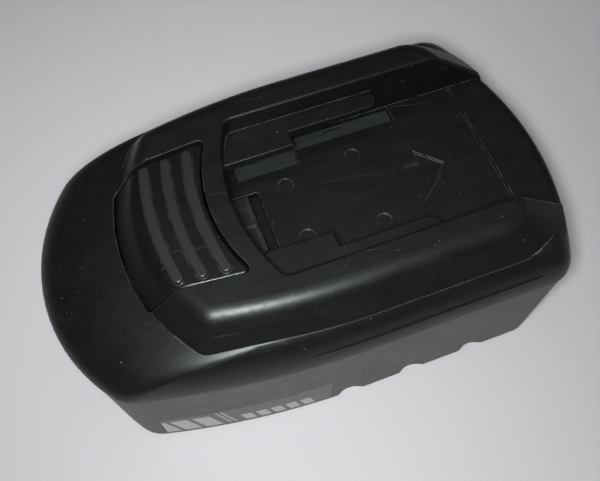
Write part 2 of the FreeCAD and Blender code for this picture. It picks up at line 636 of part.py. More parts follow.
def upper_housing():
    """The top shell: domed shoulders, raised rails, slide bay, lips, latch slot and button opening.

    The rounding of the floor's tail edge takes at most its share of the wall below it.
    """
    outside = dome(0).fuse(raised_deck(0)).removeSplitter()
    rim = [edge for edge in outside.Edges if edge.BoundBox.ZMax < parting + near_enough]
    with_bay = outside.makeFillet(size("rim_round"), rim).cut(bay_space(0, floor))
    rail_edges = [edge for edge in with_bay.Edges
                  if edge.BoundBox.YLength < near_enough
                  and abs(abs(edge.BoundBox.YMin) - bay_half) < near_enough
                  and edge.BoundBox.ZMin > deck - wall and edge.BoundBox.XLength > wall]
    with_bay = with_bay.makeFillet(size("rail_round"), rail_edges)
    tail_edges = [edge for edge in with_bay.Edges
                  if edge.BoundBox.XMin > half_length - 2 * size("tail_round")
                  and edge.BoundBox.ZLength < near_enough and abs(edge.BoundBox.ZMin - floor) < near_enough]
    edge_share = 0.62
    with_bay = with_bay.makeFillet(min(size("tail_round"), edge_share * (floor - parting)), tail_edges)
    inside = dome(wall).fuse(raised_deck(wall)).cut(bay_space(wall, floor_under))
    shell = with_bay.cut(inside)
    shell = shell.fuse(lips())

    slot_x = bay_end - size("slot_lead")
    slot_half = size("slot_width") / 2
    slot_end = bay_end + size("slot_length")
    slot_low = box(slot_x, slot_end + size("slot_extra"), -slot_half, slot_half, floor_under - past,
                   floor + near_enough)
    tunnel = box(slot_x, slot_end, -slot_half, slot_half, floor_under - past,
                 floor + size("latch_tunnel_height"))
    collar = button_space(size("collar_wall"), latch_top + size("collar_gap"), deck).common(outside)
    shell = shell.fuse(collar)
    cutters = [slot_low, tunnel, button_space(0, parting, deck + clear)]
    cutters.append(both_sides(floor_windows(0, floor_under - past, floor + past)))
    groove_x = half_length - size("groove_set")
    cutters.append(box(groove_x, groove_x + size("groove_width"), -bay_half - past, bay_half + past,
                       floor - size("groove_depth"), floor + past / 2))
    cutters.append(arrow(floor - size("arrow_depth"), floor + past / 2))

    uprights = []
    for place in screw_places():
        uprights.append(upright_cylinder(place, size("pilot_radius"), parting, deck).common(with_bay))
    for place in frame_post_places():
        uprights.append(upright_cylinder(place, size("frame_post_radius"), frame_top, deck).common(
            outside.fuse(box(nose_tip, 0, -half_width, half_width, 0, parting))))
    shell = shell.fuse(uprights)
    for place in screw_places():
        cutters.append(upright_cylinder(place, size("screw_radius") + size("screw_gap"), parting - past,
                                        screw_seat + size("screw_length") + size("screw_tip_gap")))
    for place in frame_post_places():
        tip = frame_top - size("frame_thickness") + size("frame_screw_length")
        cutters.append(upright_cylinder(place, size("screw_radius") + size("screw_gap"), frame_top - past,
                                        tip + size("screw_tip_gap")))
    for mark_set, spread in (("ejector_front_set", "ejector_front_spread"),
                             ("ejector_rear_set", "ejector_rear_spread")):
        for side in (-1, 1):
            mark = Vector(bay_end + size(mark_set), side * size(spread) / 2, 0)
            cutters.append(upright_cylinder(mark, size("ejector_radius"), floor - size("ejector_depth"),
                                            floor + past))
    rebate = wall - size("tongue_thickness") - 2 * fit
    rebate_low = parting - near_enough
    outer = prism(body_outline(rebate_low, rebate, rebate, rebate), size("tongue_height") + fit)
    core = wall + size("tongue_thickness")
    core_block = prism(body_outline(rebate_low - past, core, core, core), size("tongue_height") + 3 * past)
    cutters.append(outer.cut(core_block))
    shell = shell.cut(cutters)
    return shell


def lower_outline(height, inset):
    """Plan outline of the lower housing, which draws in evenly towards its base."""
    draft = size("reveal") + (size("draft_inset") - size("reveal")) * (1 - height / parting)
    return body_outline(height, draft + inset, draft + inset, draft + inset)


def tub(inset, low_z, high_z):
    """The drafted block of the lower housing, or its inside when inset by the wall."""
    return Part.makeLoft([lower_outline(low_z, inset), lower_outline(high_z, inset)], True, True)


def outer_cell_x(number):
    """Lengthways place of a cell in the two outer rows, counted from the tail."""
    return half_length - size("tail_room") - size("cell_radius") - number * pitch


def grips(grow):
    """Leaning cylinders that leave a scallop in each valley between the outer cells."""
    radius = size("grip_radius")
    run_on = 0.1
    low_y = half_width - size("draft_inset") + radius - size("grip_depth")
    high_y = half_width - size("reveal") + radius
    found = []
    for number in range(int(size("grip_count"))):
        x = inner_cell_x(number) + size("grip_offset")
        foot = Vector(x, low_y, 0)
        lean = Vector(0, high_y - low_y, size("grip_height"))
        start = foot - lean * run_on
        length = lean.Length * (1 + 2 * run_on)
        found.append(Part.makeCylinder(radius + grow, length, start, lean))
    return both_sides(found[0].fuse(found[1:]) if found[1:] else found[0])


def label_patch(depth, grow):
    """A thin patch of the lower housing's skin on each side, towards the nose."""
    start = nose_tip + size("label_nose_set")
    low_z = size("label_low")
    region = box(start - grow, start + size("label_length") + grow, bay_half, half_width + past,
                 low_z - grow, low_z + size("label_height") + grow)
    skin = tub(0, 0, parting).cut(tub(depth, -past, parting + past))
    return both_sides(skin.common(region))


def lower_housing():
    """The tub: drafted walls, finger scallops, tongue, screw bosses and the foam partition."""
    outside = tub(0, 0, parting)
    bottom = [edge for edge in outside.Edges if edge.BoundBox.ZMax < near_enough]
    outside = outside.makeFillet(size("base_round"), bottom)
    outside = outside.cut(grips(0))
    inside = tub(wall, size("base_wall"), parting + past).cut(grips(wall))
    shell = outside.cut(inside)
    tongue_out = wall - size("tongue_thickness")
    tongue = prism(body_outline(parting - past, tongue_out, tongue_out, tongue_out),
                   size("tongue_height") + past)
    tongue = tongue.cut(prism(body_outline(parting - 2 * past, wall, wall, wall),
                              size("tongue_height") + 4 * past))
    shell = shell.fuse(tongue)
    partition_x = inner_cell_x(3) - size("cell_radius") - size("foam_thickness") - wall
    root = size("base_wall") / 2
    partition = box(partition_x, partition_x + wall, -half_width, half_width, root, size("partition_height"))
    shell = shell.fuse(partition.common(tub(wall / 2, 0, parting)))
    for place in screw_places():
        shell = shell.fuse(upright_cylinder(place, size("boss_radius"), root, parting))
    cutters = []
    for place in screw_places():
        cutters.append(upright_cylinder(place, size("screw_head_radius") + size("screw_head_gap"), -past,
                                        screw_seat))
        cutters.append(upright_cylinder(place, size("screw_radius") + size("screw_gap"), 0, parting + past))
    cutters.append(label_patch(size("label_thickness"), size("label_gap")))
    return shell.cut(cutters)


def inner_cell_x(number):
    """Lengthways place of a cell in the two inner rows, which nest half a pitch further on."""
    return outer_cell_x(number) - pitch / 2


def under_button_top(drop):
    """Everything below the button's top: level, with a front that slopes like the deck's facet."""
    top = deck - size("button_top_drop") - drop
    block = box(nose_tip, bay_end, -half_width, half_width, latch_top - 2 * past, top)
    return block.common(front_slope(size("button_slope_drop") + drop))


def button_half_width(x):
    """Half the width of the button opening, which widens evenly from front to rear."""
    front = size("button_front_width") / 2
    rear = size("button_rear_width") / 2
    return front + (rear - front) * (x - deck_front) / size("button_length")


def button_ribs(low_z, high_z):
    """Curved ribs with rounded ends and edges, which reach nearly to the button's sides."""
    radius = size("button_rib_radius")
    thick = size("button_rib_width") / 2
    found = []
    for number in range(int(size("button_rib_count"))):
        last_apex = deck_front + size("button_length") - size("button_rib_set")
        apex = last_apex - number * size("button_rib_pitch")
        half = button_half_width(apex) - size("button_gap") - size("button_rib_inset") - thick
        centre = Vector(apex + radius, 0, 0)
        angle = math.asin(half / radius)
        corners = []
        for reach in (radius - thick, radius + thick):
            for turn in (-angle, angle):
                corners.append(centre + Vector(-reach * math.cos(turn), reach * math.sin(turn), 0))
        inner_low, inner_high, outer_low, outer_high = corners
        mid_low = (inner_low + outer_low) * 0.5 + Vector(0, -thick, 0)
        mid_high = (inner_high + outer_high) * 0.5 + Vector(0, thick, 0)
        wire = Part.Wire([
            Part.Arc(inner_low, centre - Vector(radius - thick, 0, 0), inner_high).toShape(),
            Part.Arc(inner_high, mid_high, outer_high).toShape(),
            Part.Arc(outer_high, centre - Vector(radius + thick, 0, 0), outer_low).toShape(),
            Part.Arc(outer_low, mid_low, inner_low).toShape(),
        ])
        wire.translate(Vector(0, 0, low_z))
        rib = prism(wire, high_z - low_z)
        rims = [edge for edge in rib.Edges if edge.BoundBox.ZMin > high_z - near_enough]
        found.append(rib.makeFillet(size("button_rib_round"), rims))
    return found


def button_boss_places():
    """Plan places of the screws that join the button and the latch plate."""
    x = deck_front + size("button_length") * 0.5
    y = size("button_boss_spread") / 2
    return [Vector(x, -y, 0), Vector(x, y, 0)]


def release_button():
    """The button: a hollow cap with a sloping front, three ribs and two screw bosses."""
    above = deck + clear
    side = -size("button_gap")
    top = deck - size("button_top_drop")
    body = button_space(side, latch_top, above).common(under_button_top(0))
    crease = [edge for edge in body.Edges
              if edge.BoundBox.ZMin > top - near_enough and edge.BoundBox.YLength > size("spring_spread")
              and edge.BoundBox.XMax < deck_front + size("button_length") / 2]
    body = body.makeFillet(size("button_front_round"), crease)
    outer_faces = button_space(side + near_enough, latch_top, above)
    inner_faces = button_space(side - near_enough, latch_top, above)
    rims = [edge for edge in body.Edges
            if edge.BoundBox.ZMin > latch_top + near_enough and not is_upright(edge)
            and lies_between(edge, inner_faces, outer_faces)]
    body = body.makeFillet(size("button_edge"), rims)
    body = body.fuse(button_ribs(top - size("button_wall") / 2, top + size("button_rib_height")))
    hollow = button_space(side - size("button_wall"), latch_top - past, above)
    body = body.cut(hollow.common(under_button_top(size("button_wall"))))
    for place in button_boss_places():
        boss = upright_cylinder(place, size("button_boss_radius"), latch_top, above)
        boss = boss.common(under_button_top(size("button_wall") / 2))
        hole = upright_cylinder(place, size("screw_radius") + size("screw_gap"), 0,
                                latch_top + size("button_pilot_depth"))
        body = body.fuse(boss).cut(hole)
    return body


def latch_plate():
    """The T-shaped latch plate: wide under the button, with a tongue that ends in the bay's slot."""
    top = latch_top
    low = latch_low
    wide = size("latch_wide") / 2
    tongue = size("slot_width") / 2 - gap
    front_x = nose_tip + size("latch_front_set")
    shoulder_x = nose_tip + size("latch_shoulder_set")
    end_x = bay_end + size("slot_length")
    rib = size("latch_rib")
    plate = box(front_x, shoulder_x, -wide, wide, low, top)
    upright = [edge for edge in plate.Edges if edge.BoundBox.ZLength > top - low - near_enough]
    plate = plate.makeFillet(size("latch_corner"), upright)
    plate = plate.fuse(box(shoulder_x - size("latch_corner"), end_x, -tongue, tongue, low, top))
    plate = plate.fuse(box(end_x - rib, end_x, -tongue, tongue, low, top + rib))
    plate = plate.fuse(box(bay_end, end_x, -rib, rib, low, top + rib))
    for place in spring_places():
        pin = upright_cylinder(place, size("spring_pin_radius"), low - size("latch_pin_height"), low)
        plate = plate.fuse(pin)
    for place in button_boss_places():
        plate = plate.cut(upright_cylinder(place, size("screw_radius") + size("screw_gap"), low - past,
                                           top + past))
    return plate


def spring_places():
    """Plan places of the two button springs."""
    x = nose_tip + size("spring_set")
    y = size("spring_spread") / 2
    return [Vector(x, -y, 0), Vector(x, y, 0)]


def helix_point(place, radius, rise, low_z, angle):
    """A point of the spring's helix at an angle from its start."""
    return Vector(place.x + radius * math.cos(angle), place.y + radius * math.sin(angle),
                  low_z + rise * angle / (2 * math.pi))


def helix_direction(radius, rise, angle):
    """The helix's direction at an angle from its start."""
    direction = Vector(-radius * math.sin(angle), radius * math.cos(angle), rise / (2 * math.pi))
    direction.normalize()
    return direction


def biarc(start, start_way, end, end_way):
    """Two arcs with one shared tangent that join two points along their given directions."""
    chord = end - start
    ways = start_way + end_way
    square = 2 * (1 - start_way.dot(end_way))
    reach = (math.sqrt(chord.dot(ways) ** 2 + square * chord.dot(chord)) - chord.dot(ways)) / square
    first_knee = start + start_way * reach
    second_knee = end - end_way * reach
    joint = (first_knee + second_knee) * 0.5
    return [arc_by_knee(start, first_knee, joint), arc_by_knee(joint, second_knee, end)]


def arc_by_knee(start, knee, end):
    """The arc that touches start to knee at start and knee to end at end."""
    half_chord = (end - start) * 0.5
    middle = start + half_chord
    rise = knee - middle
    half = math.atan2(rise.Length, half_chord.Length) / 2
    rise.normalize()
    return Part.Arc(start, middle + rise * (half_chord.Length * math.tan(half)), end).toShape()


def button_spring(place):
    """One compression spring: a single wire whose helix follows quarter-turn arcs."""
    radius = size("spring_radius")
    wire_r = size("spring_wire") / 2
    low_z = frame_top + wire_r
    high_z = latch_low - wire_r
    turns = int(size("spring_turns"))
    rise = (high_z - low_z) / turns
    edges = []
    for quarter in range(turns * 4):
        first = quarter * math.pi / 2
        last = first + math.pi / 2
        edges += biarc(helix_point(place, radius, rise, low_z, first), helix_direction(radius, rise, first),
                       helix_point(place, radius, rise, low_z, last), helix_direction(radius, rise, last))
    path = Part.Wire(edges)
    circle = Part.makeCircle(wire_r, helix_point(place, radius, rise, low_z, 0),
                             helix_direction(radius, rise, 0))
    spring = path.makePipeShell([Part.Wire([circle])], True, False)
    print("spring gap between turns", round(rise - 2 * wire_r, 2))
    return spring


def rounded_path(points, radius):
    """Straight runs joined by tangent arcs."""
    edges = []
    start = points[0]
    for index in range(1, len(points) - 1):
        knee = points[index]
        back = points[index - 1] - knee
        ahead = points[index + 1] - knee
        back.normalize()
        ahead.normalize()
        turn = math.pi - back.getAngle(ahead)
        trim = radius * math.tan(turn / 2)
        arc_start = knee + back * trim
        arc_end = knee + ahead * trim
        edges.append(Part.makeLine(start, arc_start))
        edges.append(arc_by_knee(arc_start, knee, arc_end))
        start = arc_end
    edges.append(Part.makeLine(start, points[-1]))
    return Part.Wire(edges)


def lead(points, bend, radius):
    """An insulated lead along straight runs and tangent bends."""
    path = rounded_path(points, bend)
    way = points[1] - points[0]
    circle = Part.makeCircle(radius, points[0], way)
    return path.makePipeShell([Part.Wire([circle])], True, False)


# Heights in the cell block, from the bottom card up
card = size("card_thickness")
strap = size("strap_thickness")
cell_low = total(CELL_LOW)
cell_high = cell_low + size("cell_height")


def cell_places():
    """The 15 cells in the order of their series chain, a snake from the near nose end."""
    order = [(outer_cell_x(number), -outer_y) for number in (3, 2, 1, 0)]
    order += [(inner_cell_x(number), -inner_y) for number in (0, 1, 2, 3)]
    order += [(inner_cell_x(number), inner_y) for number in (3, 2, 1, 0)]
    order += [(outer_cell_x(number), outer_y) for number in (0, 1, 2)]
    return order


def cell(number, x, y, upright):
    """One sub-C cell: the sleeved can, its shoulder and the raised button at the top or the bottom."""
    name = "cell_%02d" % number
    can = doc.addObject("Part::Cylinder", name + "_can")
    can.setExpression("Radius", "sizes.cell_radius")
    can.setExpression("Height", "sizes.cell_height - sizes.cell_button_height")
    neck = doc.addObject("Part::Cylinder", name + "_button")
    neck.setExpression("Radius", "sizes.cell_button_radius")
    neck.setExpression("Height", "sizes.cell_button_height")
    stack = formula(CELL_LOW)
    lift = "" if upright else " + sizes.cell_button_height"
    top = " + sizes.cell_height - sizes.cell_button_height" if upright else ""
    can.Placement.Base = Vector(x, y, 0)
    can.setExpression("Placement.Base.z", stack + lift)
    neck.Placement.Base = Vector(x, y, 0)
    neck.setExpression("Placement.Base.z", stack + top)
    whole = doc.addObject("Part::MultiFuse", name)
    whole.Shapes = [can, neck]
    SUB_PARTS.append(whole)


def strap_between(first, second, low_z, overhang):
    """A flat nickel strap from one cell's middle to the next."""
    start = Vector(first[0], first[1], 0)
    end = Vector(second[0], second[1], 0)
    way = end - start
    length = way.Length + 2 * overhang
    flat = Part.makeBox(length, size("strap_width"), strap, Vector(-overhang, -size("strap_width") / 2, 0))
    angle = math.degrees(math.atan2(way.y, way.x))
    flat.Placement = Placement(Vector(start.x, start.y, low_z), Rotation(Vector(0, 0, 1), angle))
    return flat


def straps(at_top):
    """The links of the series chain on one face of the block, with that face's end tab."""
    places = cell_places()
    low_z = cell_high if at_top else cell_low - strap
    parity = 1 if at_top else 0
    links = []
    for index in range(len(places) - 1):
        if index % 2 == parity:
            links.append(strap_between(places[index], places[index + 1], low_z,
                                       size("strap_overhang")))
    end = places[0] if at_top else places[-1]
    links.append(strap_between(end, (end[0] - size("tab_length"), end[1]), low_z, size("strap_overhang")))
    return Part.makeCompound(links)


def card_shape(low_z, holes):
    """A die-cut insulator card over the cell block."""
    inset = size("card_inset")
    whole = prism(body_outline(low_z, inset, inset, inset), card)
    inner_edge = inner_cell_x(3) - size("cell_radius")
    outer_edge = outer_cell_x(3) - size("cell_radius")
    inner_half = inner_y + size("cell_radius")
    bottom = low_z - past
    top = low_z + card + past
    region = box(inner_edge, half_length, -inner_half, inner_half, bottom, top)
    region = region.fuse(box(outer_edge, half_length, -half_width, half_width, bottom, top))
    return whole.common(region).cut([grips(wall + size("card_gap"))] + holes)


def sheet_body(label):
    """An empty body whose features are bound to the sheet."""
    body = doc.addObject("PartDesign::Body", label)
    SUB_PARTS.append(body)
    return body


def origin_plane(body, role):
    """One of a body's own origin planes."""
    return [item for item in body.Origin.OriginFeatures if item.Role == role][0]


def rectangle(body, name, low_x, length, low_y, width, height):
    """A sketched rectangle on a level plane, every size bound to the sheet once it is drawn."""
    draft = 10.0
    sketch = body.newObject("Sketcher::SketchObject", name)
    sketch.AttachmentSupport = (origin_plane(body, "XY_Plane"), [""])
    sketch.MapMode = "FlatFace"
    sketch.setExpression("AttachmentOffset.Base.z", height)
    corners = [Vector(x * draft, y * draft, 0) for x, y in ((-1, -1), (1, -1), (1, 1), (-1, 1))]
    sides = [sketch.addGeometry(Part.LineSegment(corners[index], corners[(index + 1) % 4]), False)
             for index in range(4)]
    for index in range(4):
        sketch.addConstraint(Sketcher.Constraint("Coincident", sides[index], 2, sides[(index + 1) % 4], 1))
    sketch.addConstraint(Sketcher.Constraint("Horizontal", sides[0]))
    sketch.addConstraint(Sketcher.Constraint("Horizontal", sides[2]))
    sketch.addConstraint(Sketcher.Constraint("Vertical", sides[1]))
    sketch.addConstraint(Sketcher.Constraint("Vertical", sides[3]))
    for kind, first, point, expression in (("DistanceX", -1, 1, low_x), ("DistanceY", -1, 1, low_y)):
        index = sketch.addConstraint(Sketcher.Constraint(kind, first, point, sides[0], 1, -draft))
        sketch.setExpression("Constraints[%d]" % index, expression)
    index = sketch.addConstraint(Sketcher.Constraint("DistanceX", sides[0], 1, sides[0], 2, 2 * draft))
    sketch.setExpression("Constraints[%d]" % index, length)
    index = sketch.addConstraint(Sketcher.Constraint("DistanceY", sides[1], 1, sides[1], 2, 2 * draft))
    sketch.setExpression("Constraints[%d]" % index, width)
    return sketch


def round_sketch(body, name, places, radius, height):
    """Sketched circles on a level plane; each place is a pair of expressions that replaces the draft."""
    draft = 5.0
    sketch = body.newObject("Sketcher::SketchObject", name)
    sketch.AttachmentSupport = (origin_plane(body, "XY_Plane"), [""])
    sketch.MapMode = "FlatFace"
    sketch.setExpression("AttachmentOffset.Base.z", height)
    for x, y in places:
        circle = sketch.addGeometry(Part.Circle(Vector(draft, draft, 0), Vector(0, 0, 1), draft), False)
        for kind, expression in (("DistanceX", x), ("DistanceY", y)):
            index = sketch.addConstraint(Sketcher.Constraint(kind, -1, 1, circle, 3, draft))
            sketch.setExpression("Constraints[%d]" % index, expression)
        index = sketch.addConstraint(Sketcher.Constraint("Radius", circle, draft))
        sketch.setExpression("Constraints[%d]" % index, radius)
    return sketch


def pad(body, name, sketch, length):
    """A pad that rises from its sketch."""
    extrusion = body.newObject("PartDesign::Pad", name)
    extrusion.Profile = sketch
    extrusion.setExpression("Length", length)
    return extrusion


def pocket(body, name, sketch, length):
    """A pocket that cuts upwards from its sketch."""
    cut = body.newObject("PartDesign::Pocket", name)
    cut.Profile = sketch
    cut.setExpression("Length", length)
    cut.Reversed = True
    return cut


def latch_frame():
    """The spring seat: a plate under four posts of the upper housing, with a pin for each spring."""
    body = sheet_body("latch_frame")
    nose = "-(%s) / 2" % formula(LENGTH)
    low_x = nose + " + sizes.frame_front_set"
    top = formula(LATCH_LOW) + " - sizes.spring_length"
    low_z = top + " - sizes.frame_thickness"
    plate = rectangle(body, "frame_outline", low_x, "sizes.frame_length", "-sizes.frame_width / 2",
                      "sizes.frame_width", low_z)
    pad(body, "frame_plate", plate, "sizes.frame_thickness")
    holes = []
    for x in (low_x + " + sizes.frame_post_inset",
              low_x + " + sizes.frame_length - sizes.frame_post_inset"):
        for y in ("-sizes.frame_width / 2 + sizes.frame_post_inset",
                  "sizes.frame_width / 2 - sizes.frame_post_inset"):
            holes.append((x, y))
    hole_sketch = round_sketch(body, "frame_holes", holes, "sizes.screw_radius + sizes.screw_gap", low_z)
    pocket(body, "frame_screw_holes", hole_sketch, "sizes.frame_thickness")
    spring_x = nose + " + sizes.spring_set"
    pins = round_sketch(body, "frame_pins", [(spring_x, "-sizes.spring_spread / 2"),
                                             (spring_x, "sizes.spring_spread / 2")],
                        "sizes.spring_pin_radius", top)
    pad(body, "frame_spring_pins", pins, "sizes.spring_pin_height")
    doc.recompute()


def foam_pad():
    """The foam pad between the partition and the foremost cells."""
    body = sheet_body("foam_pad")
    back = "-(%s) / 2 + %s - sizes.foam_thickness" % (formula(LENGTH), formula(NOSE_ROOM))
    outline = rectangle(body, "foam_outline", back, "sizes.foam_thickness", "-sizes.foam_width / 2",
                        "sizes.foam_width", "sizes.base_wall")
    pad(body, "foam_block", outline, "sizes.partition_height - sizes.base_wall")


def thermal_cutout():
    """The thermal cut-out, lying on the top card beside the rail wall."""
    body = sheet_body("thermal_cutout")
    low_x = "-(%s) / 2 + sizes.bay_nose_set - sizes.cutout_set" % formula(LENGTH)
    low_y = "-sizes.bay_width / 2 - sizes.wall - sizes.cutout_gap - sizes.cutout_width"
    outline = rectangle(body, "cutout_outline", low_x, "sizes.cutout_length", low_y, "sizes.cutout_width",
                        formula(BLOCK_TOP))
    pad(body, "cutout_case", outline, "sizes.cutout_height")


def carrier(side):
    """A contact carrier: a flange under the bay floor and a plateau that fills the windows."""
    top = floor - size("carrier_drop")
    flange_top = floor_under - fit
    room = size("terminal_gap")
    flange = floor_windows(size("carrier_flange"), flange_top - size("carrier_plate"), flange_top)
    plateau = floor_windows(-fit, flange_top - size("carrier_plate") / 2, top)
    body = flange.fuse(plateau)
    for blade in (terminal_blade("power_terminal_set", "terminal_length"),
                  terminal_blade("sense_terminal_set", "sense_length")):
        bounds = blade.BoundBox
        body = body.cut(box(bounds.XMin - room, bounds.XMax + room, bounds.YMin - room, bounds.YMax + room,
                            bounds.ZMin - past, bounds.ZMax))
    return body if side > 0 else body.mirror(Vector(0, 0, 0), Vector(0, 1, 0))


def terminal_blade(set_name, length_name):
    """The upright blade of a terminal on the far side."""
    start = bay_end + size(set_name)
    blade_y = bay_half - size("terminal_set") - size("terminal_thickness")
    low_z = block_top + size("terminal_lift")
    return box(start, start + size(length_name), blade_y, blade_y + size("terminal_thickness"), low_z,
               floor - size("carrier_drop") + size("terminal_height"))


def terminal(set_name, length_name, side):
    """An L-shaped terminal: a blade under the lip and a foot that runs out under the rail wall."""
    blade = terminal_blade(set_name, length_name)
    bounds = blade.BoundBox
    foot = box(bounds.XMin, bounds.XMax, bounds.YMin, bounds.YMin + size("terminal_foot"), bounds.ZMin,
               bounds.ZMin + size("terminal_thickness"))
    body = blade.fuse(foot).removeSplitter()
    return body if side > 0 else body.mirror(Vector(0, 0, 0), Vector(0, 1, 0))


def screw(place, seat, length):
    """A pan-head screw pointing up, with a cross-shaped drive."""
    head_r = size("screw_head_radius")
    head_h = size("screw_head_height")
    head = Part.makeCylinder(head_r, head_h, Vector(place.x, place.y, seat - head_h))
    low_edges = [edge for edge in head.Edges if edge.BoundBox.ZMax < seat - head_h + near_enough
                 and edge.BoundBox.XLength > head_r]
    head = head.makeFillet(size("screw_head_round"), low_edges)
    shank = Part.makeCylinder(size("screw_radius"), length, Vector(place.x, place.y, seat))
    long = size("drive_span") / 2
    short = size("drive_width") / 2
    low_z = seat - head_h - past
    high_z = seat - head_h + size("drive_depth")
    cross = box(place.x - long, place.x + long, place.y - short, place.y + short, low_z, high_z)
    cross = cross.fuse(box(place.x - short, place.x + short, place.y - long, place.y + long, low_z, high_z))
    return head.fuse(shank).cut(cross)


def screws(places, seat, length):
    """A group of like screws."""
    return Part.makeCompound([screw(place, seat, length) for place in places])


# The sub-parts, from the outside in
feature("upper_housing", upper_housing())
feature("lower_housing", lower_housing())
feature("release_button", release_button())
feature("latch_plate", latch_plate())
feature("latch_screws", screws(button_boss_places(), latch_low,
                                size("latch_screw_length")))
for name, place in zip(("near", "far"), spring_places()):
    feature("button_spring_" + name, button_spring(place))
latch_frame()
feature("frame_screws", screws(frame_post_places(), frame_top - size("frame_thickness"),
                                size("frame_screw_length")))
feature("housing_screws", screws(screw_places(), screw_seat, size("screw_length")))
for number, (cell_x, cell_y) in enumerate(cell_places(), start=1):
    cell(number, cell_x, cell_y, number % 2 == 1)
feature("top_straps", straps(True))
feature("bottom_straps", straps(False))
card_holes = [upright_cylinder(place, size("boss_radius") + size("card_gap"), 0, deck)
              for place in screw_places()]
feature("bottom_card", card_shape(size("base_wall"), card_holes))
lead_x = outer_cell_x(3) - size("lead_set")
lead_hole = upright_cylinder(Vector(lead_x, outer_y, 0), size("lead_radius") + size("lead_hole_gap"), 0, deck)
feature("top_card", card_shape(cell_high + strap, card_holes + [lead_hole]))
foam_pad()
thermal_cutout()
feature("contact_carrier_near", carrier(-1))
feature("contact_carrier_far", carrier(1))
feature("positive_terminal", terminal("power_terminal_set", "terminal_length", -1))
feature("negative_terminal", terminal("power_terminal_set", "terminal_length", 1))
feature("sense_terminal", terminal("sense_terminal_set", "sense_length", -1))

foot_top = block_top + size("terminal_lift") + size("terminal_thickness")
cutout_end = bay_end - size("cutout_set") + size("cutout_length")
lead_r = size("lead_radius")
lead_z = foot_top + lead_r
power_x = bay_end + size("power_terminal_set") + size("terminal_length") - size("lead_overlap")
sense_x = bay_end + size("sense_terminal_set") + size("sense_length") - size("lead_overlap")
near_y = -bay_half - wall - lead_r - size("lead_gap")
feature("lead_positive", lead([
    Vector(cutout_end, near_y, lead_z),
    Vector(power_x, near_y, lead_z),
], size("lead_bend"), lead_r))
tab_z = cell_low + lead_r
feature("lead_negative", lead([
    Vector(lead_x + 2 * size("lead_bend"), outer_y, tab_z),
    Vector(lead_x, outer_y, tab_z),
    Vector(lead_x, outer_y, lead_z),
    Vector(power_x, outer_y, lead_z),
], size("lead_bend"), lead_r))
thin_r = size("sense_lead_radius")
thin_z = foot_top + thin_r
thin_y = near_y - lead_r - thin_r - size("sense_lead_gap")
feature("lead_sense", lead([
    Vector(cutout_end, thin_y, thin_z),
    Vector(sense_x - 5 * size("sense_lead_bend"), thin_y, thin_z),
    Vector(sense_x - 3 * size("sense_lead_bend"), near_y, thin_z),
    Vector(sense_x, near_y, thin_z),
], size("sense_lead_bend"), thin_r))
feature("side_labels", label_patch(size("label_thickness"), 0))

doc.recompute()
for item in doc.Objects:
    if "Invalid" in item.State or "Error" in item.State:
        raise RuntimeError("%s did not build: %s" % (item.Label, item.State))
for part in SUB_PARTS:
    if part.Shape.isNull() or not part.Shape.isValid():
        raise RuntimeError("%s has no valid shape" % part.Label)
for part in SUB_PARTS:
    part.Shape.exportStep("parts/%s.step" % part.Label)
    print(part.Label, len(part.Shape.Solids), round(part.Shape.Volume, 1))
print(len(SUB_PARTS), "sub-parts")
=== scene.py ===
import math

import bpy
import numpy as np
from bpy.props import FloatProperty, FloatVectorProperty, IntProperty, PointerProperty
from mathutils import Matrix, Vector


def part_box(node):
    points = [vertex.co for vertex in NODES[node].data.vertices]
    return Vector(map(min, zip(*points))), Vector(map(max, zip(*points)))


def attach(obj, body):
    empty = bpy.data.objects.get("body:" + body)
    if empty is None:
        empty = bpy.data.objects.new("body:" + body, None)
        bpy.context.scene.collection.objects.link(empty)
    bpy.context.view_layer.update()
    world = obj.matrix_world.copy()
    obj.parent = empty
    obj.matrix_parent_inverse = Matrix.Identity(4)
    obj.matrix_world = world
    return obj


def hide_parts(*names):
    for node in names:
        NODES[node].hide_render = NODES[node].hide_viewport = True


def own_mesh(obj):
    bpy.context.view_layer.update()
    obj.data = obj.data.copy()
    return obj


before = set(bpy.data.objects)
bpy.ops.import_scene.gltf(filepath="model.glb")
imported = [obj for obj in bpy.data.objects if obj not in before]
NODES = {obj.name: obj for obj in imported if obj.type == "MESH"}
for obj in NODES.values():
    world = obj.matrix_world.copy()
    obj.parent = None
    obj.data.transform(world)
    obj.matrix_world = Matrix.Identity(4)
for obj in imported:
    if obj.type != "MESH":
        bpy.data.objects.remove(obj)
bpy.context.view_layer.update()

bl_info = {
    "name": "Slide-on battery pack",
    "version": (1, 0, 0),
    "blender": (4, 5, 0),
    "location": "View3D > Sidebar > Battery pack",
    "description": "Dresses the pack's shells, button, latch, contacts and cells",
    "category": "Object",
}

DECK_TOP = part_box("upper_housing")[1][2]
TUB_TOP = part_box("lower_housing")[1][2]
BUTTON_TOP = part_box("release_button")[1][2]
LABEL_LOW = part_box("side_labels")[0]
WHITE = (1.0, 1.0, 1.0, 1.0)
GREEN_SHEEN = (0.90, 1.0, 0.94, 1.0)

# Noises of the moulded plastic, in features per metre. Haze is drawn out along the pack.
BROAD_GLOSS = 55.0
RUB_PATCHES = 320.0
FINE_GRAIN = 900.0
MICRO_GRAIN = 3800.0
HAZE = (90.0, 240.0, 240.0)
HAZE_TONES = (0.78, 1.25)
GRAIN_DEPTH = 0.00006

# Scratches: turn in degrees, features per metre along and across, noise where a streak starts and is full.
SCRATCHES = ((12, 18.0, 1500.0, 0.66, 0.74), (-38, 22.0, 1700.0, 0.68, 0.76), (74, 20.0, 1600.0, 0.68, 0.76))
SCRATCH_PATCHES = 45.0
SCUFF = 0.6

# Specks of dust: cells per metre, radius as a share of a cell, share of the cells that hold one.
SPECKS = ((260.0, 0.075, 0.16), (620.0, 0.12, 0.05))

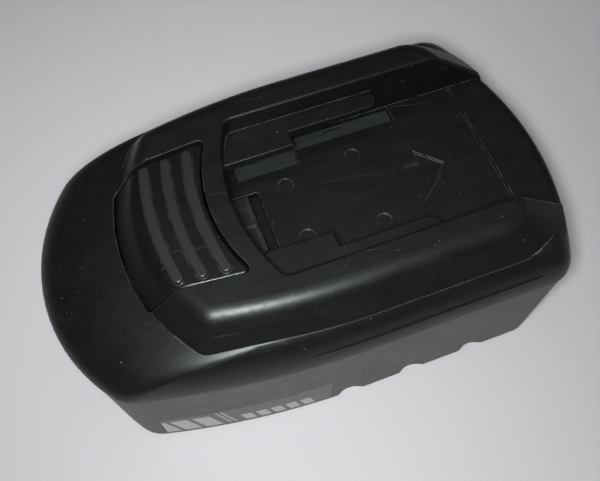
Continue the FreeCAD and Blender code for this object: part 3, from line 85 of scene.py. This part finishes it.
# Turn of the rounded normal, as one minus its cosine, where the lightened edges (rubbed wear and painted
# highlight) and the painted crease highlight start and are full.
EDGE_TURN = (0.01, 0.2)
CREASE_TURN = (0.002, 0.010)

# Bars printed on a label: start of the row, how many, pitch, share of the pitch in print, height.
BARS = ((0.0, 3, 0.0066, 0.78, 0.0128), (0.0208, 2, 0.0016, 0.40, 0.0150), (0.0262, 5, 0.0048, 0.70, 0.0072))

# Lamps: name, place, target, side of the square in metres, power in watts.
LAMPS = (
    ("key", (-0.047, -0.104, 0.238), (0.0, -0.010, 0.050), 0.03, 1.0),
    ("overhead", (0.0, 0.07, 3.0), (0.0, 0.0, 0.05), 2.2, 13.4),
    ("fill", (0.80, -0.20, 0.55), (0.0, 0.0, 0.03), 0.50, 0.3),
)
WORLD_LIGHT = 0.05
WORLD_SEEN = 0.6

# The table: half its side, the stretch along Y over which painted light makes it lighter, and its tones at
# either end.
TABLE_REACH = 4.0
TABLE_PAINTED_FALLOFF = (-0.09, 0.20)
TABLE_NEAR = (0.74, 0.77)
TABLE_FAR = (1.34, 1.39)

# The camera: its place in metres, and its azimuth, elevation and roll in degrees.
CAMERA_PLACE = (-0.0362, -0.1001, 0.2324)
CAMERA_AZIMUTH = 19.6
CAMERA_ELEVATION = 62.1
CAMERA_ROLL = -0.99


def colour(name, text, value):
    """A colour that a user may change."""
    return FloatVectorProperty(name=name, description=text, subtype="COLOR", size=4, default=value + (1.0,))


def length(name, text, value):
    """A length that a user may change."""
    return FloatProperty(name=name, description=text, unit="LENGTH", default=value, min=0.0)


class PackColours(bpy.types.PropertyGroup):
    """Colours of the pack's materials."""

    shell: colour("Upper housing", "Satin black plastic", (0.0034, 0.0040, 0.0036))
    tub: colour("Lower housing", "Matt dark grey plastic", (0.064, 0.062, 0.057))
    button: colour("Release button", "Glossy black plastic", (0.0030, 0.0034, 0.0031))
    # Rib tops: rubbed wear, and a painted sheen on the crowns of the button's ribs.
    rib_wear_and_sheen: colour("Rib tops", "Rubbed tops of the button's ribs", (0.0125, 0.0140, 0.0125))
    latch: colour("Latch", "Black latch plastic", (0.0070, 0.0078, 0.0072))
    carrier: colour("Contact carriers", "Dark green-grey plastic", (0.0110, 0.0135, 0.0125))
    # Colour of rubbed wear and scratches, also used for painted highlights on edges and along the flank
    # crease.
    wear_and_highlight: colour("Worn edges", "Rubbed plastic edges", (0.068, 0.075, 0.070))
    dust: colour("Dust", "Specks and film of dust", (0.100, 0.100, 0.094))
    steel: colour("Zinc steel", "Plated screws", (0.560, 0.570, 0.590))
    spring: colour("Spring steel", "Button springs", (0.420, 0.410, 0.400))
    nickel: colour("Nickel", "Straps and terminals", (0.600, 0.570, 0.520))
    sleeve: colour("Cell sleeve", "Shrink sleeve of the cells", (0.020, 0.110, 0.300))
    # Near-black card: partly its own colour, partly painted shade for the contact slot it is seen through.
    card: colour("Fibre card", "Insulator cards", (0.005, 0.005, 0.005))
    foam: colour("Foam", "Foam pad", (0.060, 0.060, 0.065))
    cutout: colour("Cut-out case", "Thermal cut-out", (0.040, 0.040, 0.045))
    red: colour("Red insulation", "Positive lead", (0.420, 0.015, 0.012))
    black: colour("Black insulation", "Negative lead", (0.012, 0.012, 0.012))
    white: colour("White insulation", "Sense lead", (0.650, 0.640, 0.600))
    label: colour("Label film", "Side labels", (0.080, 0.079, 0.081))
    bars: colour("Label bars", "Silver print on the side labels", (0.400, 0.395, 0.410))
    floor: colour("Table", "Pale table and background", (0.470, 0.475, 0.490))


class PackSizes(bpy.types.PropertyGroup):
    """Sizes of the finish, in metres."""

    edge: length("Edge rounding", "Softened edges of the mouldings", 0.0004)
    rail_side: length("Rail side", "Inner side of the rails from the middle", 0.0280)
    crease_low: length("Crease, low end", "Least height of the crease in the flank", DECK_TOP - 0.0126)
    crease_high: length("Crease, high end", "Greatest height of the crease in the flank", DECK_TOP - 0.0080)
    # Painted shadow: above this height the lower housing is darkened, standing in for the shade in the
    # parting gap under the upper housing's rim.
    seam_shadow_level: length("Seam level", "Height above which the lower housing is grimy", TUB_TOP - 0.0034)
    # Above this height the rib tops get rubbed wear and a painted sheen.
    rib_level: length("Rib level", "Height above which the button's ribs are rubbed", BUTTON_TOP - 0.0008)
    spring_wire: length("Spring wire", "Wire radius of the button springs", 0.0004)
    spring_turns: IntProperty(name="Spring turns", description="Turns of a button spring", default=5, min=1)
    print_low: length("Print height", "Lower edge of the bars on the labels", LABEL_LOW[2] + 0.0007)
    print_set: length("Print start", "Bars behind the label's nose end, at table height", 0.0003106)
    print_lean: FloatProperty(name="Print lean", description="Sideways lean of the bars", default=-0.25)


class Wire:
    """A shader socket in arithmetic: each operator adds one Math node."""

    def __init__(self, finish, socket):
        self.finish = finish
        self.socket = socket

    def apply(self, operation, other=None):
        """A Math node over this socket and, where there is one, the other term."""
        terms = {0: self} if other is None else {0: self, 1: other}
        return self.finish.add("Math", {"operation": operation}, terms)

    def __add__(self, other):
        return self.apply("ADD", other)

    def __sub__(self, other):
        return self.apply("SUBTRACT", other)

    def __rsub__(self, other):
        return self.finish.add("Math", {"operation": "SUBTRACT"}, {0: other, 1: self})

    def __mul__(self, other):
        return self.apply("MULTIPLY", other)

    def __gt__(self, other):
        return self.apply("GREATER_THAN", other)

    def __lt__(self, other):
        return self.apply("LESS_THAN", other)

    __radd__ = __add__
    __rmul__ = __mul__


class Finish:
    """The node tree of one material, or of the world."""

    def __init__(self, name, kind="materials"):
        self.owner = getattr(bpy.data, kind).new(name)
        self.owner.use_nodes = True
        self.nodes = self.owner.node_tree.nodes
        self.links = self.owner.node_tree.links
        self.nodes.clear()

    def add(self, kind, settings=None, inputs=None, out=0):
        """Any node: its settings first, then the values or links of its sockets; gives one output."""
        node = self.nodes.new("ShaderNode" + kind)
        for key, value in (settings or {}).items():
            setattr(node, key, value)
        for key, value in (inputs or {}).items():
            if isinstance(value, Wire):
                self.links.new(value.socket, node.inputs[key])
            else:
                node.inputs[key].default_value = value
        return Wire(self, node.outputs[out]) if len(node.outputs) else None

    def place(self, scale=(1, 1, 1), turn=(0, 0, 0)):
        """The point on the object in metres, turned and then scaled along each axis."""
        spot = self.add("TexCoord", out="Object")
        spot = self.add("Mapping", None, {"Vector": spot, "Rotation": [math.radians(a) for a in turn]})
        return self.add("VectorMath", {"operation": "MULTIPLY"}, {0: spot, 1: scale})

    def axis(self, letter):
        """One coordinate of the point on the object, in metres."""
        return self.add("SeparateXYZ", None, {"Vector": self.add("TexCoord", out="Object")}, out=letter)

    def noise(self, scale, detail=2.0, spot=None, rough=0.5):
        """Noise whose features measure one over scale, in metres."""
        inputs = {"Scale": scale, "Detail": detail, "Roughness": rough}
        inputs["Vector"] = spot or self.place()
        return self.add("TexNoise", None, inputs)

    def cells(self, scale, out):
        """Random cells, scale of them to the metre: the distance to a cell's middle, or its own colour."""
        return self.add("TexVoronoi", {"feature": "F1"}, {"Vector": self.place(), "Scale": scale}, out=out)

    def ease(self, value, low, high, start=0.0, end=1.0):
        """A smooth step from start at low to end at high."""
        inputs = {"Value": value, "From Min": low, "From Max": high, "To Min": start, "To Max": end}
        return self.add("MapRange", {"interpolation_type": "SMOOTHSTEP"}, inputs)

    def between(self, value, low, high, soft=0.0001):
        """1 from low to high and 0 outside, with soft ends."""
        return self.ease(value, low - soft, low) * self.ease(value, high, high + soft, 1.0, 0.0)

    def blend(self, share, first, second):
        """The first colour at share 0, the second at share 1."""
        return self.add("Mix", {"data_type": "RGBA"}, {0: share, 6: first, 7: second}, out=2)

    def tones(self, share, tint, low, high):
        """A colour times a factor that goes from low to high with the share."""
        return self.blend(share, tone(tint, low), tone(tint, high))

    def bevel(self, radius):
        """The rounded normal near edges, and how far it turns: one minus the cosine."""
        normal = self.add("Bevel", {"samples": 6}, {"Radius": radius})
        plain = self.add("NewGeometry", out="Normal")
        match = self.add("VectorMath", {"operation": "DOT_PRODUCT"}, {0: normal, 1: plain}, out="Value")
        return normal, 1.0 - match

    def bump(self, height, strength, distance, **more):
        """The normal tilted by a height, of which one step measures the distance."""
        return self.add("Bump", None, {"Strength": strength, "Distance": distance, "Height": height, **more})

    def specks(self, scale, size, share):
        """Round specks, each in its own cell; only a share of the cells has one."""
        far = self.cells(scale, "Distance")
        lot = self.add("SeparateColor", None, {"Color": self.cells(scale, "Color")})
        return (lot < share) * self.ease(far, size * 0.6, size, 1.0, 0.0)

    def scratches(self, turn, along, across, low, high):
        """Thin streaks: noise drawn out along one direction, cut off at its peaks."""
        spot = self.place((along, across, across), (0, 0, turn))
        streak = self.noise(1.0, 3.0, spot, 0.55)
        patch = self.ease(self.noise(SCRATCH_PATCHES, 1.0), 0.42, 0.62)
        return self.ease(streak, low, high) * patch

    def surface(self, **sockets):
        """The finished surface from the values or links of the shader's sockets."""
        names = {key.replace("_", " "): value for key, value in sockets.items()}
        shader = self.add("BsdfPrincipled", None, names)
        self.add("OutputMaterial", None, {"Surface": shader})
        return self.owner


def tone(tint, factor):
    """A colour made lighter or darker by a factor."""
    return [min(1.0, part * factor) for part in tint[:3]] + [1.0]


def swing(pattern, width):
    """A noise brought round zero and made so wide."""
    return width * (pattern - 0.5)


def strongest(masks):
    """The greatest of several masks at each point."""
    top = masks[0]
    for mask in masks[1:]:
        top = top.apply("MAXIMUM", mask)
    return top


def plastic(name, tint, look, sizes, gloss=0.39, wear=0.8, dust=0.5, shine=0.27, crease=None, raised=None,
            seam_shadow=None):
    """Moulded plastic: fine grain, uneven gloss, edges lightened as rubbed wear and as painted highlights,
    thin scratches and specks of dust.

    A crease is a pair of heights between which slight creases in the flank get a painted highlight line.
    Above the height raised, the whole surface is lightened as rubbed wear and painted sheen, and above the
    height seam_shadow it is darkened as a painted shadow of the parting gap.
    """
    finish = Finish(name)
    height = finish.axis("Z")
    normal, turn = finish.bevel(sizes.edge)
    broad = finish.noise(BROAD_GLOSS, 3.0)
    fine = finish.noise(FINE_GRAIN)
    micro = finish.noise(MICRO_GRAIN, 1.0)
    haze = finish.noise(1.0, 4.0, finish.place(HAZE, (0, 0, 8)), 0.6)
    marks = strongest([finish.scratches(*row) for row in SCRATCHES]) * SCUFF
    specks = strongest([finish.specks(*row) for row in SPECKS]) * dust
    # Rounded edges lightened in patches: partly rubbed wear, partly a painted highlight standing in for the
    # glint of the edge rounding.
    rubbed_and_highlit = finish.ease(turn, *EDGE_TURN) * finish.ease(finish.noise(RUB_PATCHES), 0.30, 0.62) * wear

    shade = finish.tones(finish.ease(haze, 0.25, 0.75), tint, *HAZE_TONES)
    if crease:
        # Painted highlight: a light line along the crease between flank and shoulder, standing in for the
        # glint of its small rounding.
        outside = finish.axis("Y").apply("ABSOLUTE") > sizes.rail_side
        line = finish.between(height, *crease) * outside * finish.ease(turn, *CREASE_TURN)
        shade = finish.blend(line * 0.8, shade, look.wear_and_highlight)
    # Rib tops lightened: rubbed wear, and a painted sheen standing in for the light on their crowns.
    if raised:
        shade = finish.blend(finish.ease(height, raised, raised + sizes.edge), shade, look.rib_wear_and_sheen)
    # Painted highlight and wear: the rounded edges take the lighter colour.
    shade = finish.blend(rubbed_and_highlit, shade, look.wear_and_highlight)
    shade = finish.blend(marks * 0.5, shade, look.wear_and_highlight)
    # Painted shadow: a dark band in the upper housing's colour at the top of the lower housing, in place of
    # the parting gap's shade.
    if seam_shadow:
        shade = finish.blend(finish.ease(height, seam_shadow, seam_shadow + sizes.edge), shade, look.shell)
    shade = finish.blend(specks, shade, look.dust)

    rough = gloss + swing(broad, 0.12) + swing(haze, 0.03) + swing(fine, 0.10) - 0.06 * rubbed_and_highlit + 0.15 * specks
    relief = 0.6 * micro + 0.4 * fine - 0.5 * marks
    tilted = finish.bump(relief, 0.33, GRAIN_DEPTH, Normal=normal)
    return finish.surface(Base_Color=shade, Roughness=rough, Normal=tilted, Specular_Tint=GREEN_SHEEN,
                          Specular_IOR_Level=shine)


def label_film(name, tint, print_tint, sizes, wear=1100.0, clouds=140.0, depth=0.00004):
    """Satin label film with plain leaning bars printed in silver: tall ones, two thin ones, low ones."""
    finish = Finish(name)
    up = finish.axis("Z")
    along = finish.axis("X") - up * sizes.print_lean
    low = sizes.print_low
    start = LABEL_LOW[0] + sizes.print_set
    rows = []
    for first, count, pitch, share, height in BARS:
        step = (along - (start + first)) * (1.0 / pitch)
        row = (step.apply("FRACT") < share) * finish.between(step, 0.0, count)
        rows.append(row * finish.between(up, low, low + height))
    printed = strongest(rows) * finish.ease(finish.noise(wear, 3.0), 0.22, 0.34)
    cloud = finish.noise(clouds, 3.0)
    shade = finish.blend(printed * 0.92, finish.tones(cloud, tint, 0.9, 1.1), print_tint)
    return finish.surface(Base_Color=shade, Roughness=0.46 - 0.10 * printed + swing(cloud, 0.12),
                          Normal=finish.bump(printed + 0.3 * cloud, 0.2, depth))


def metal(name, tint, gloss=0.32, drawn=(60.0, 600.0, 600.0), blotches=220.0, depth=0.00003):
    """Drawn or plated metal with fine lines along X and dull blotches."""
    finish = Finish(name)
    lines = finish.noise(1.0, 2.0, finish.place(drawn))
    dull = finish.noise(blotches, 3.0)
    shade = finish.tones(finish.ease(dull, 0.35, 0.75), tint, 1.0, 0.72)
    return finish.surface(Base_Color=shade, Roughness=gloss + swing(lines, 0.16) + swing(dull, 0.18),
                          Metallic=1.0, Normal=finish.bump(lines, 0.25, depth))


def soft_sleeve(name, tint, gloss=0.35, ripples=420.0, clouds=90.0, depth=0.00008):
    """Shrink film or wire insulation: smooth, with slight ripples."""
    finish = Finish(name)
    cloud = finish.noise(clouds)
    shade = finish.tones(cloud, tint, 0.85, 1.15)
    return finish.surface(Base_Color=shade, Roughness=gloss + swing(cloud, 0.12),
                          Normal=finish.bump(finish.noise(ripples), 0.3, depth))


def fibre_card(name, tint, depth=0.00005):
    """Pressed fibre card: matt, with short fibres that cross."""
    finish = Finish(name)
    fibres = finish.noise(1.0, 3.0, finish.place((500.0, 2600.0, 900.0), (0, 0, 24)))
    cross = finish.noise(1.0, 3.0, finish.place((2400.0, 600.0, 900.0), (0, 0, -31)))
    felt = fibres * 0.5 + cross * 0.5
    shade = finish.tones(finish.ease(felt, 0.35, 0.65), tint, 0.8, 1.0)
    # Near-black and almost without gloss: partly the card's own colour, partly painted shade for the contact
    # slot.
    return finish.surface(Base_Color=shade, Roughness=0.8, Specular_IOR_Level=0.08,
                          Normal=finish.bump(felt, 0.4, depth))


def open_foam(name, tint, pores=1400.0, depth=0.0003):
    """Open foam: small dark pores."""
    finish = Finish(name)
    away = finish.cells(pores, "Distance")
    shade = finish.tones(finish.ease(away, 0.1, 0.6), tint, 0.4, 1.0)
    return finish.surface(Base_Color=shade, Roughness=0.95, Normal=finish.bump(away, 0.8, depth))


def table_top(name, tint, clouds=4.0, fibres=900.0, depth=0.0001):
    """The pale matt sheet that the pack stands on, painted lighter towards the back to stand in for the fall
    of the light.
    """
    finish = Finish(name)
    cloud = finish.noise(clouds, 3.0)
    near = finish.tones(cloud, tint, *TABLE_NEAR)
    far = finish.tones(cloud, tint, *TABLE_FAR)
    # Painted light: the sheet's colour grows lighter towards the back, in place of lamps that light it so.
    shade = finish.blend(finish.ease(finish.axis("Y"), *TABLE_PAINTED_FALLOFF), near, far)
    return finish.surface(Base_Color=shade, Roughness=0.7,
                          Normal=finish.bump(finish.noise(fibres), 0.05, depth))


def quads_over(index):
    """Quads between the neighbouring rows and columns of a grid of point numbers."""
    return np.stack([index[:-1, :-1], index[:-1, 1:], index[1:, 1:], index[1:, :-1]], axis=-1).reshape(-1, 4)


def mesh_of(name, points, faces, flat=0):
    """A smooth mesh of points and faces, of which the last few may stay flat."""
    mesh = bpy.data.meshes.new(name)
    mesh.from_pydata(points.reshape(-1, 3).tolist(), [], faces)
    mesh.polygons.foreach_set("use_smooth", np.arange(len(faces)) < len(faces) - flat)
    mesh.update()
    return mesh


def table_mesh(reach):
    """One level square at height 0: every pair of minus reach and reach along X and Y."""
    x, y = np.meshgrid((-reach, reach), (-reach, reach))
    corners = np.stack([x, y, np.zeros_like(x)], axis=-1)
    return mesh_of("table", corners, quads_over(np.arange(4).reshape(2, 2)).tolist())


def tube_mesh(name, line, radius, sides=10):
    """A closed tube round a line of points.

    Each ring is a circle in the plane across the line: its axes are the level direction square
    to the line and the cross product of the two. Flat caps close the ends.
    """
    way = np.gradient(line, axis=0)
    way /= np.linalg.norm(way, axis=1, keepdims=True)
    level = np.cross(way, (0.0, 0.0, 1.0))
    level /= np.linalg.norm(level, axis=1, keepdims=True)
    over = np.cross(level, way)
    turn = np.linspace(0.0, 2.0 * math.pi, sides, endpoint=False)[None, :, None]
    points = line[:, None] + radius * (np.cos(turn) * level[:, None] + np.sin(turn) * over[:, None])
    index = np.arange(len(line) * sides).reshape(len(line), sides)
    caps = [index[0, ::-1].tolist(), index[-1].tolist()]
    walls = quads_over(np.hstack([index, index[:, :1]])).tolist()
    return mesh_of(name, points, walls + caps, flat=len(caps))


def helix(box, wire, turns, steps=28):
    """Points of a helix that fills a box: a level circle that climbs evenly from end to end."""
    low, high = np.array(box[0]), np.array(box[1])
    middle = (low + high) / 2
    radius = (high[0] - low[0]) / 2 - wire
    angle = np.linspace(0.0, 2.0 * math.pi * turns, turns * steps + 1)
    climb = np.linspace(low[2] + wire, high[2] - wire, turns * steps + 1)
    return np.stack([middle[0] + radius * np.cos(angle), middle[1] + radius * np.sin(angle), climb], axis=1)


def add_piece(name, mesh, material, body=None):
    """Links a mesh as an object at the origin, on its body, with its material."""
    obj = bpy.data.objects.new(name, mesh)
    bpy.context.scene.collection.objects.link(obj)
    mesh.materials.append(material)
    if body:
        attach(obj, body)
    return obj


def dress(material, *names):
    """Gives CAD nodes a material."""
    for name in names:
        for slot in NODES[name].material_slots:
            slot.material = material


def look_of(context):
    """The colours and sizes that the panel shows."""
    return context.scene.pack_colours, context.scene.pack_sizes


class PACK_OT_housings(bpy.types.Operator):
    """Finish the two housings and the screws"""

    bl_idname = "pack.housings"
    bl_label = "Housings"

    def execute(self, context):
        look, sizes = look_of(context)
        crease = (sizes.crease_low, sizes.crease_high)
        dress(plastic("upper_black", look.shell, look, sizes, crease=crease), "upper_housing")
        dress(plastic("lower_grey", look.tub, look, sizes, gloss=0.52, wear=0.3, dust=0.3, shine=0.35,
                      seam_shadow=sizes.seam_shadow_level), "lower_housing")
        dress(metal("zinc_plate", look.steel), "housing_screws", "frame_screws", "latch_screws")
        return {"FINISHED"}


class PACK_OT_release(bpy.types.Operator):
    """Finish the release button, latch plate and latch frame, and wind the springs"""

    bl_idname = "pack.release"
    bl_label = "Release button and latch"

    def execute(self, context):
        look, sizes = look_of(context)
        dress(plastic("button_black", look.button, look, sizes, gloss=0.32, wear=1.0, raised=sizes.rib_level),
              "release_button")
        dress(plastic("latch_black", look.latch, look, sizes, gloss=0.42), "latch_plate", "latch_frame")
        wire = metal("spring_wire", look.spring, gloss=0.28)
        for name in ("button_spring_near", "button_spring_far"):
            add_spring(name, wire, sizes)
        return {"FINISHED"}


def add_spring(node, wire, sizes):
    """One wound spring in place of its node; it is squashed towards its lower end by the button."""
    low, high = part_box(node)
    line = helix((low, high), sizes.spring_wire, sizes.spring_turns)
    piece = add_piece(node + "_coil", tube_mesh(node, line, sizes.spring_wire), wire, "pack")
    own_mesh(piece)
    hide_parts(node)


class PACK_OT_contacts(bpy.types.Operator):
    """Finish the contact carriers, terminals, straps, leads and cut-out"""

    bl_idname = "pack.contacts"
    bl_label = "Contacts and leads"

    def execute(self, context):
        look, sizes = look_of(context)
        dress(plastic("carrier_green_grey", look.carrier, look, sizes, gloss=0.52),
              "contact_carrier_near", "contact_carrier_far")
        dress(metal("nickel_strip", look.nickel, gloss=0.26), "positive_terminal", "negative_terminal",
              "sense_terminal", "top_straps", "bottom_straps")
        dress(soft_sleeve("red_insulation", look.red), "lead_positive")
        dress(soft_sleeve("black_insulation", look.black), "lead_negative")
        dress(soft_sleeve("white_insulation", look.white), "lead_sense")
        dress(soft_sleeve("cutout_sleeve", look.cutout, 0.45), "thermal_cutout")
        return {"FINISHED"}


class PACK_OT_cells(bpy.types.Operator):
    """Finish the cells, their cards and the foam pad"""

    bl_idname = "pack.cells"
    bl_label = "Cells"

    def execute(self, context):
        look = context.scene.pack_colours
        cells = [name for name in NODES if name.startswith("cell_")]
        dress(soft_sleeve("cell_sleeve_blue", look.sleeve), *cells)
        dress(fibre_card("black_card", look.card), "top_card", "bottom_card")
        dress(open_foam("grey_foam", look.foam), "foam_pad")
        return {"FINISHED"}


class PACK_OT_labels(bpy.types.Operator):
    """Finish the side labels"""

    bl_idname = "pack.labels"
    bl_label = "Side labels"

    def execute(self, context):
        look, sizes = look_of(context)
        dress(label_film("label_film", look.label, look.bars, sizes), "side_labels")
        return {"FINISHED"}


class PACK_OT_stage(bpy.types.Operator):
    """Add the table, the world, the lamps and the camera"""

    bl_idname = "pack.stage"
    bl_label = "Stage"

    def execute(self, context):
        look = context.scene.pack_colours
        table = add_piece("table", table_mesh(TABLE_REACH), table_top("pale_sheet", look.floor))
        add_world(look.floor)
        for lamp in LAMPS:
            add_lamp(*lamp)
        add_camera()
        return {"FINISHED"}


def add_world(tint):
    """A dim even world, which shows pale behind the table."""
    finish = Finish("studio", "worlds")
    dim = finish.add("Background", None, {"Color": WHITE, "Strength": WORLD_LIGHT})
    pale = finish.add("Background", None, {"Color": tint, "Strength": WORLD_SEEN})
    seen = finish.add("LightPath", out="Is Camera Ray")
    finish.add("OutputWorld", None, {"Surface": finish.add("MixShader", None, {0: seen, 1: dim, 2: pale})})
    bpy.context.scene.world = finish.owner


def add_lamp(name, place, target, size, power):
    """A square area lamp that points at a target."""
    lamp = bpy.data.lights.new(name, "AREA")
    lamp.shape = "SQUARE"
    lamp.size = size
    lamp.energy = power
    obj = bpy.data.objects.new(name, lamp)
    bpy.context.scene.collection.objects.link(obj)
    way = Vector(target) - Vector(place)
    obj.matrix_world = Matrix.Translation(place) @ way.to_track_quat("-Z", "Y").to_matrix().to_4x4()


def add_camera():
    """The camera at the photograph's place, turned by its azimuth, elevation and roll."""
    azimuth, elevation, roll = [math.radians(a) for a in (CAMERA_AZIMUTH, CAMERA_ELEVATION, CAMERA_ROLL)]
    ahead = Vector((math.sin(azimuth) * math.cos(elevation), math.cos(azimuth) * math.cos(elevation),
                    -math.sin(elevation)))
    level = ahead.cross(Vector((0, 0, 1))).normalized()
    upward = level.cross(ahead)
    right = math.cos(roll) * level + math.sin(roll) * upward
    up = right.cross(ahead)
    camera = bpy.data.cameras.new("camera")
    camera.lens = 42.0
    camera.sensor_width = 36.0
    camera.clip_start = 0.01
    obj = bpy.data.objects.new("camera", camera)
    bpy.context.scene.collection.objects.link(obj)
    turn = Matrix((right, up, -ahead)).transposed()
    obj.matrix_world = Matrix.Translation(CAMERA_PLACE) @ turn.to_4x4()
    bpy.context.scene.camera = obj
    bpy.context.scene.view_settings.view_transform = "Standard"


class PACK_PT_panel(bpy.types.Panel):
    """The pack's operators and values in the sidebar"""

    bl_label = "Battery pack"
    bl_idname = "PACK_PT_panel"
    bl_space_type = "VIEW_3D"
    bl_region_type = "UI"
    bl_category = "Battery pack"

    def draw(self, context):
        for operator in OPERATORS:
            self.layout.operator(operator.bl_idname)
        for group in look_of(context):
            for name in group.bl_rna.properties.keys():
                if name not in ("rna_type", "name"):
                    self.layout.prop(group, name)


OPERATORS = (PACK_OT_housings, PACK_OT_release, PACK_OT_contacts, PACK_OT_cells, PACK_OT_labels,
             PACK_OT_stage)
CLASSES = (PackColours, PackSizes) + OPERATORS + (PACK_PT_panel,)


def register():
    """Registers the classes and hangs the values on the scene."""
    for item in CLASSES:
        bpy.utils.register_class(item)
    bpy.types.Scene.pack_colours = PointerProperty(type=PackColours)
    bpy.types.Scene.pack_sizes = PointerProperty(type=PackSizes)


def unregister():
    """Takes the values and classes away again."""
    del bpy.types.Scene.pack_sizes
    del bpy.types.Scene.pack_colours
    for item in reversed(CLASSES):
        bpy.utils.unregister_class(item)


def main():
    """Builds the whole scene."""
    register()
    bpy.ops.pack.housings()
    bpy.ops.pack.release()
    bpy.ops.pack.contacts()
    bpy.ops.pack.cells()
    bpy.ops.pack.labels()
    bpy.ops.pack.stage()


if __name__ == "__main__":
    main()
